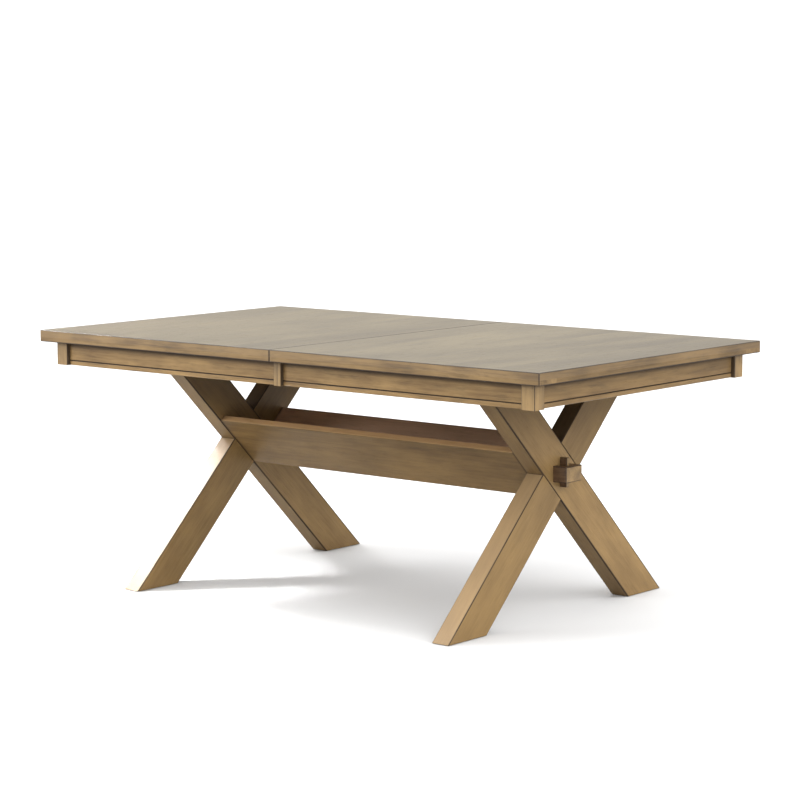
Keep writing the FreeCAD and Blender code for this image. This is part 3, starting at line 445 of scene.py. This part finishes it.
def beam_material(name, sign, seed, line, tones):
    """Beam of a crossed frame: grain along it, dark glaze on its long edges, painted shade under
    the skirt, in the crotch and on its inward and floor-facing faces, and a painted highlight on
    its lower arms.
    """
    tree = Tree(name)
    turn = beam_turn(sign)
    centred = tree.placed(tree.placed(tree.place, shift=(0, 0, -CROSSING)), turn=turn)
    along, side, across = tree.split(centred)
    z = tree.split(tree.place)[2]
    sideways = tree.math("ABSOLUTE", side)
    in_width = tree.between(across, -BEAM_HALF, BEAM_HALF)
    edge = tree.largest(tree.between(sideways, FRAME_INNER, FRAME_OUTER), in_width)
    # Painted shade under the skirt, growing upwards
    skirt_shade = tree.growing(z, start=0.45, end=0.66, most=0.40)
    # Painted shade: the faces that look at the trough darken upwards
    inward_shade = tree.math("LESS_THAN", sideways, FRAME_INNER + 0.001)
    inward_shade = tree.math("MULTIPLY", inward_shade, tree.growing(z, start=0.43, end=0.60, most=0.62))
    # The narrow faces: sky-facing ones get painted shade in the crotch and a paler painted
    # highlight on the lower arms, and floor-facing ones a little painted shade
    upward = tree.math("MULTIPLY", across, -sign)
    skyward = tree.growing(upward, start=BEAM_HALF - 0.0014, end=BEAM_HALF - 0.0006)
    # Painted shade on the floor-facing narrow faces
    floorward_shade = tree.fading(upward, start=0.0006 - BEAM_HALF, end=0.0014 - BEAM_HALF, most=0.28)
    high = tree.math("GREATER_THAN", z, CROSSING)
    # Painted shade in the crotch
    crotch_shade = tree.math("MULTIPLY", tree.math("MULTIPLY", skyward, high), 0.88)
    # Painted highlight: a paler tone on the sky-facing faces of the lower arms
    painted_highlight = tree.math("MULTIPLY", skyward, tree.math("MULTIPLY_ADD", high, -0.35, 0.35))
    # A dark line where the two beams meet on their narrow faces
    off_joint = tree.math("SUBTRACT", tree.math("ABSOLUTE", along), BEAM_HALF + 0.0012)
    meeting = tree.fading(tree.math("ABSOLUTE", off_joint), start=0.0010, end=0.0042, most=0.85)
    meeting = tree.math("MULTIPLY", meeting, tree.math("LESS_THAN", in_width, SKIN))
    edges = edge_glaze(tree, edge, width=line, most=1.0)
    darkening = tree.largest(edges, skirt_shade, inward_shade, crotch_shade, meeting, floorward_shade)
    figure = grain(tree, turn, seed, lines_across=110.0, mottle=9.0)
    colour = stain(tree, figure, tones, streaks=0.18, mottling=1.0)
    colour = tree.mixed(painted_highlight, colour, HIGHLIGHT_TONE)
    return seal(tree, figure, colour, darkening, rough=0.42, gloss=0.15)


def trough_material():
    """Boards of the trough: stained outside, with paler inner faces and a lighter tone on the
    upper edges as painted light.
    """
    tree = Tree("trough board wood")
    x, y, z = tree.split(tree.place)
    deep = tree.math("ABSOLUTE", y)
    figure = grain(tree, "x", seed=4.4, lines_across=80.0, mottle=7.0)
    # How far a point lies outwards of the outer face decides which face of the board it is on
    outer_face = tree.math("MULTIPLY", tree.math("SUBTRACT", z, BOARD_APEX), BOARD_SLOPE)
    outward = tree.math("SUBTRACT", deep, outer_face)
    inner = tree.fading(outward, start=-0.026, end=-0.022)
    on_lip = tree.math("GREATER_THAN", tree.math("MULTIPLY_ADD", deep, BOARD_SLOPE, z), LIP_LEVEL)
    by_frames = tree.growing(tree.math("ABSOLUTE", x), start=0.538, end=0.547, most=0.7)
    outside = stain(tree, figure, TROUGH, streaks=0.4)
    inside = stain(tree, figure, TROUGH_INSIDE, streaks=0.3)
    # Painted light on the upper edges, as if they were lit from above
    lit_lip = stain(tree, figure, LIT_LIP_TONES, streaks=0.3)
    colour = tree.mixed(on_lip, tree.mixed(inner, outside, inside), lit_lip)
    return seal(tree, figure, colour, by_frames, rough=0.45, gloss=0.12)


def joint_material(name, direction, seed, line):
    """Tenons and wedges: dark stained sides with darker edges, and lighter wood on the ends."""
    tree = Tree(name)
    x, y, z = tree.split(tree.place)
    across = tree.math("ABSOLUTE", x)
    if direction == "z":
        # The wedge's outer face leans with its taper
        above_foot = tree.math("SUBTRACT", z, WEDGE_LOW)
        end = tree.math("MULTIPLY_ADD", above_foot, WEDGE_TAPER, FRAME_OUTER + WEDGE_FOOT)
        half, low, top = WEDGE_HALF, WEDGE_LOW, WEDGE_TOP
    else:
        end = TENON_END
        half, low, top = TENON_HALF, TENON_LOW, TENON_TOP
    from_end = tree.math("SUBTRACT", end, across)
    edge = tree.second_nearest(from_end, tree.between(y, -half, half), tree.between(z, low, top))
    figure = grain(tree, direction, seed, lines_across=160.0, mottle=30.0)
    sides = stain(tree, figure, DARK_JOINT, streaks=0.35)
    end_face = stain(tree, figure, TAN, streaks=0.3)
    colour = tree.mixed(tree.math("LESS_THAN", from_end, 0.0006), sides, end_face)
    darkening = edge_glaze(tree, edge, width=line, most=0.9)
    return seal(tree, figure, colour, darkening, rough=0.42)


# ---------------------------------------------------------------- plain wood, metal and nylon


def plain_wood(name, direction, seed):
    """Wood without stain, for what the top hides."""
    tree = Tree(name)
    figure = grain(tree, direction, seed, lines_across=90.0, mottle=7.0)
    return seal(tree, figure, stain(tree, figure, RAW, streaks=0.4), None, rough=0.55)


# How much wear moves a metal's roughness either way
METAL_WEAR = 0.08


def metal(name, colour, rough):
    """Metal with faint wear in its colour and gloss."""
    tree = Tree(name)
    wear = tree.noise(tree.place, scale=160.0, detail=4.0, rough=0.6)
    worn = tuple(part * 0.8 for part in colour)
    tree.join(tree.mixed(wear, worn, colour), tree.shader.inputs["Base Color"])
    roughness = tree.math("MULTIPLY_ADD", wear, METAL_WEAR * 2, rough - METAL_WEAR)
    tree.join(roughness, tree.shader.inputs["Roughness"])
    tree.shader.inputs["Metallic"].default_value = 1.0
    pitting = tree.noise(tree.place, scale=900.0, detail=2.0)
    tree.bump(pitting, distance=0.0001, strength=0.3)
    return tree.material


def plastic(name, colour):
    """Moulded plastic with a fine speckle."""
    tree = Tree(name)
    speckle = tree.noise(tree.place, scale=700.0, detail=2.0, rough=0.6)
    darker = tuple(part * 0.9 for part in colour)
    tree.join(tree.mixed(speckle, darker, colour), tree.shader.inputs["Base Color"])
    tree.shader.inputs["Roughness"].default_value = 0.5
    tree.bump(speckle, distance=0.0001, strength=0.4)
    return tree.material


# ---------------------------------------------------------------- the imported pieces' finishes


def dress(node, material):
    """Gives a carried-over node its finish."""
    slots = nodes[node].material_slots
    if slots:
        for slot in slots:
            slot.material = material
    else:
        nodes[node].data.materials.append(material)


top = top_material()
long_rim = rim_material("long edge band wood", "x", LONG_RIM_SEED, RIM)
end_rim = rim_material("end edge band wood", "y", END_RIM_SEED, END_RIM)
long_apron = apron_material("long apron wood", "x", seed=1.1, tones=APRON, mottling=1.6)
end_apron = apron_material("end apron wood", "y", seed=2.3, tones=END_APRON, mottling=1.0)
post = post_material()
front_beam = beam_material("front foot beam wood", -1, seed=5.3, line=0.0035, tones=TAN)
back_beam = beam_material("back foot beam wood", 1, seed=6.1, line=0.0056, tones=BACK_BEAM)
trough = trough_material()
tenon = joint_material("stretcher tenon wood", "x", seed=4.9, line=0.0030)
wedge = joint_material("tusk wedge wood", "z", seed=7.3, line=0.0022)
across_wood = plain_wood("plain cross rail wood", "y", seed=7.7)
along_wood = plain_wood("waxed slide wood", "x", seed=8.7)
steel = metal("zinc steel", (0.62, 0.62, 0.60), rough=0.32)
black_steel = metal("black bolt steel", (0.10, 0.10, 0.105), rough=0.45)
brass = metal("brass pin", (0.78, 0.57, 0.26), rough=0.3)
nylon = plastic("nylon glide", (0.05, 0.042, 0.035))

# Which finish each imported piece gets, by how its name starts
FINISHES = [
    (("top_panel",), top),
    (("front_build", "back_build"), long_rim),
    (("end_build",), end_rim),
    (("front_apron", "back_apron"), long_apron),
    (("end_apron",), end_apron),
    (("front_corner_post", "back_corner_post", "seam_posts"), post),
    (("left_leg_front", "right_leg_front"), front_beam),
    (("left_leg_back", "right_leg_back"), back_beam),
    (("trough_board",), trough),
    (("stretcher_rail",), tenon),
    (("tusk_wedge",), wedge),
    (("fixed_runner", "front_sliding", "back_sliding", "stop_blocks"), along_wood),
    (("cap_rail", "cross_battens", "corner_braces", "runner_ties"), across_wood),
    (("pinion", "racks", "gear_axles", "lock_"), steel),
    (("cap_bolts",), black_steel),
    (("seam_pins",), brass),
    (("foot_glides",), nylon),
]
for node in nodes:
    for starts, finish in FINISHES:
        if node.startswith(starts):
            dress(node, finish)

# ---------------------------------------------------------------- small screws

# The cross recess, as shares of a head's radius and height, and its turn in radians. Each next
# screw of a group is turned by a step more.
SLOT_LONG, SLOT_WIDE, SLOT_BEVEL, SLOT_DEEP = 1.15, 0.26, 0.05, 1.1
SLOT_TURN, TURN_STEP = 0.4, 0.9


def only(piece):
    """Leaves one piece selected and active."""
    bpy.ops.object.select_all(action="DESELECT")
    piece.select_set(True)
    bpy.context.view_layer.objects.active = piece


def cut_slot(head, radius, height, angle):
    """One arm of the cross recess, cut with a tapered bar."""
    bpy.ops.mesh.primitive_cube_add(size=1, location=(0, 0, -height), rotation=(0, 0, angle))
    bar = bpy.context.object
    bar.scale = (radius * SLOT_LONG, radius * SLOT_WIDE, height * SLOT_DEEP)
    bpy.ops.object.transform_apply(location=True, rotation=True, scale=True)
    bpy.ops.object.mode_set(mode="EDIT")
    bpy.ops.mesh.select_all(action="SELECT")
    bpy.ops.mesh.bevel(offset=radius * SLOT_BEVEL, segments=1, affect="EDGES")
    bpy.ops.object.mode_set(mode="OBJECT")
    only(head)
    cut = head.modifiers.new("slot", "BOOLEAN")
    cut.operation = "DIFFERENCE"
    cut.object = bar
    bpy.ops.object.modifier_apply(modifier=cut.name)
    bpy.data.objects.remove(bar)


def screw_head(name, radius, height, round_over):
    """Head of a wood screw that looks down, with its seat at the origin and a cross recess."""
    bpy.ops.object.select_all(action="DESELECT")
    bpy.ops.mesh.primitive_cylinder_add(
        vertices=20, radius=radius, depth=height * 2, location=(0, 0, 0)
    )
    head = bpy.context.object
    head.name = name
    bpy.ops.object.mode_set(mode="EDIT")
    bpy.ops.mesh.select_all(action="DESELECT")
    bpy.ops.mesh.select_mode(type="EDGE")
    bpy.ops.object.mode_set(mode="OBJECT")
    corners = head.data.vertices
    for edge in head.data.edges:
        edge.select = all(corners[index].co.z < -height * 0.9 for index in edge.vertices)
    bpy.ops.object.mode_set(mode="EDIT")
    bpy.ops.mesh.bevel(offset=round_over, segments=3, affect="EDGES")
    bpy.ops.object.mode_set(mode="OBJECT")
    for angle in (0.0, math.pi / 2):
        cut_slot(head, radius, height, angle + SLOT_TURN)
    only(head)
    bpy.ops.object.shade_smooth_by_angle(angle=math.radians(35))
    return head


def screws(pattern, name, body, places, material):
    """Copies of a screw head at their places, each turned a little differently, as one piece.

    A screw is driven upwards, or level along the heading that is the fourth number of its place.
    """
    copies = []
    for number, (x, y, z, *heading) in enumerate(places):
        copy = pattern.copy()
        copy.data = pattern.data.copy()
        scene.collection.objects.link(copy)
        turn = Matrix.Rotation(TURN_STEP * number, 4, "Z")
        if heading:
            level = Matrix(((0, 0, 1), (1, 0, 0), (0, 1, 0))).to_4x4()
            turn = Matrix.Rotation(heading[0], 4, "Z") @ (level @ turn)
        copy.data.transform(Matrix.Translation((x, y, z)) @ turn)
        copies.append(copy)
    bpy.ops.object.select_all(action="DESELECT")
    for copy in copies:
        copy.select_set(True)
    bpy.context.view_layer.objects.active = copies[0]
    bpy.ops.object.join()
    piece = bpy.context.object
    piece.name = name
    piece.data.materials.clear()
    piece.data.materials.append(material)
    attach(piece, body)


def halves(*values):
    """Each value with a minus and then with a plus."""
    return [value * sign for value in values for sign in (-1, 1)]


pan = screw_head("pan_head", radius=0.0038, height=0.0022, round_over=0.0013)
flat = screw_head("flat_head", radius=0.0034, height=0.0004, round_over=0.0002)
small = screw_head("small_flat_head", radius=0.0023, height=0.0004, round_over=0.0002)

# Where the heads sit: heights of the faces that they are driven into, then places in the plan
RAIL_LOW, TIE_LOW, CAP_LOW, PLATE_LOW = 0.677, 0.664, 0.648, 0.713
BRACE_LEVELS = (0.678, 0.704)
RUNNER_Y = 0.270
TIE_X, CAP_X = (0.1830, 0.2104), (0.5402, 0.6116)
BATTEN_X, BATTEN_Y = (0.0312, 0.4081, 0.7850), (0.120, 0.350)
LEFT_RAIL_Y, RIGHT_RAIL_Y = 0.2969, 0.2431
PLATE_X, PLATE_Y = (0.0145, 0.0455), (0.4315, 0.4525)
BRACE_X, BRACE_Y = 0.8009, 0.4244

ties = [(x, y, TIE_LOW) for x in halves(*TIE_X) for y in halves(RUNNER_Y)]
screws(pan, "runner_tie_screws", "trestle", ties, black_steel)
caps = [(x, y, CAP_LOW) for x in halves(*CAP_X) for y in halves(RUNNER_Y)]
screws(pan, "cap_rail_screws", "trestle", caps, black_steel)
for side, sign, rail_y in (("left", -1, LEFT_RAIL_Y), ("right", 1, RIGHT_RAIL_Y)):
    body = side + "_half"
    in_battens = [(x * sign, y, SLAB_LOW) for x in BATTEN_X for y in (0.0, *halves(*BATTEN_Y))]
    screws(flat, "batten_screws_" + side, body, in_battens, black_steel)
    in_rails = [(x * sign, y, RAIL_LOW) for x in BATTEN_X for y in halves(rail_y)]
    screws(flat, "rail_screws_" + side, body, in_rails, black_steel)
    in_plates = [(x * sign, y, PLATE_LOW) for x in PLATE_X for y in halves(*PLATE_Y)]
    screws(small, "lock_screws_" + side, body, in_plates, steel)
    in_braces = [
        (BRACE_X * sign, BRACE_Y * end, z, math.atan2(end, sign))
        for end in (-1, 1)
        for z in BRACE_LEVELS
    ]
    screws(pan, "brace_screws_" + side, body, in_braces, black_steel)
for pattern in (pan, flat, small):
    bpy.data.objects.remove(pattern)

# ---------------------------------------------------------------- floor, light and camera

bpy.ops.mesh.primitive_plane_add(size=60, location=(0, 0, 0))
floor = bpy.context.object
floor.name = "studio_floor"
paper = Tree("white studio paper")
paper.shader.inputs["Base Color"].default_value = (0.43, 0.43, 0.43, 1)
paper.shader.inputs["Roughness"].default_value = 0.9
floor.data.materials.append(paper.material)

scene.view_settings.view_transform = "Standard"

# A soft studio dome: dark low down in front, white behind the table and brighter overhead
dome = bpy.data.worlds.new("soft studio dome")
scene.world = dome
dome.use_nodes = True
sky = dome.node_tree
background = sky.nodes["Background"]
heading = sky.nodes.new("ShaderNodeTexCoord").outputs["Generated"]


def sky_node(kind, *values, **settings):
    """A node of the dome, with its settings and its inputs in their order."""
    node = sky.nodes.new(kind)
    for name, value in settings.items():
        setattr(node, name, value)
    for socket, value in zip(node.inputs, values):
        if isinstance(value, bpy.types.NodeSocket):
            sky.links.new(value, socket)
        else:
            socket.default_value = value
    return node


def towards(direction):
    """How far a heading of the dome points the given way."""
    return sky_node("ShaderNodeVectorMath", heading, direction, operation="DOT_PRODUCT").outputs[1]


def glow_from(value, start, end, least, most):
    """Light that grows smoothly while the value goes from start to end."""
    limits = (value, start, end, least, most)
    return sky_node("ShaderNodeMapRange", *limits, interpolation_type="SMOOTHSTEP").outputs[0]


rise = sky_node("ShaderNodeSeparateXYZ", heading).outputs[2]
overhead = glow_from(rise, start=0.08, end=0.85, least=0.08, most=3.6)
rightward = towards((0.90, -0.15, 0.41))
from_right = glow_from(rightward, start=0.55, end=0.95, least=0.0, most=2.6)
behind = towards((-0.63, 0.77, -0.9))
backdrop = glow_from(behind, start=0.78, end=0.95, least=0.0, most=1.12)
ceiling = sky_node("ShaderNodeMath", overhead, from_right, operation="ADD").outputs[0]
glow = sky_node("ShaderNodeMath", ceiling, backdrop, operation="MAXIMUM").outputs[0]
# Seen straight, the dome is plain white paper
seen = sky.nodes.new("ShaderNodeLightPath").outputs["Is Camera Ray"]
strength = sky_node("ShaderNodeMath", seen, 1.15, glow, operation="MULTIPLY_ADD").outputs[0]
sky.links.new(strength, background.inputs["Strength"])
background.inputs["Color"].default_value = (1, 1, 1, 1)


def softbox(name, place, target, width, height, power, spread=180):
    """A rectangular lamp that faces a point, with a grid where its spread is narrow."""
    lamp = bpy.data.lights.new(name, "AREA")
    lamp.shape = "RECTANGLE"
    lamp.size = width
    lamp.size_y = height
    lamp.energy = power
    lamp.spread = math.radians(spread)
    holder = bpy.data.objects.new(name, lamp)
    holder.location = place
    holder.rotation_euler = (Vector(target) - Vector(place)).to_track_quat("-Z", "Y").to_euler()
    scene.collection.objects.link(holder)


LEFT_STAND, FRONT_STAND = (-2.78, -0.60, 2.32), (-6.1, -6.4, 2.9)
LOWER_ARM = (-0.576, -0.28, 0.15)
softbox("left softbox", LEFT_STAND, LOWER_ARM, width=0.5, height=0.5, power=3.6, spread=18)
softbox("left fill", LEFT_STAND, (-0.2, -0.3, 0.3), width=1.2, height=1.2, power=60)
softbox("front softbox", FRONT_STAND, (0, -0.3, 0.55), width=3.0, height=2.4, power=480)

# The photograph's camera, fitted to the straight edges of the table
AZIMUTH, ELEVATION, ROLL = math.radians(39.146), math.radians(7.0252), math.radians(-0.0242)
CAMERA_PLACE = (4.629534, -5.651902, 1.460185)
FOCAL_LENGTH_PIXELS, IMAGE_PIXELS, SENSOR_WIDTH = 2526.852, 800, 36

back = Vector((
    math.sin(AZIMUTH) * math.cos(ELEVATION),
    -math.cos(AZIMUTH) * math.cos(ELEVATION),
    math.sin(ELEVATION),
))
right = Vector((math.cos(AZIMUTH), math.sin(AZIMUTH), 0))
upward = back.cross(right)
level_right = right * math.cos(ROLL) + upward * math.sin(ROLL)
level_up = upward * math.cos(ROLL) - right * math.sin(ROLL)
stance = Matrix((level_right, level_up, back)).transposed().to_4x4()
stance.translation = Vector(CAMERA_PLACE)
lens = bpy.data.cameras.new("photo camera")
lens.sensor_width = SENSOR_WIDTH
lens.lens = FOCAL_LENGTH_PIXELS / IMAGE_PIXELS * SENSOR_WIDTH
lens.clip_end = 80
camera = bpy.data.objects.new("photo camera", lens)
scene.collection.objects.link(camera)
camera.matrix_world = stance
scene.camera = camera
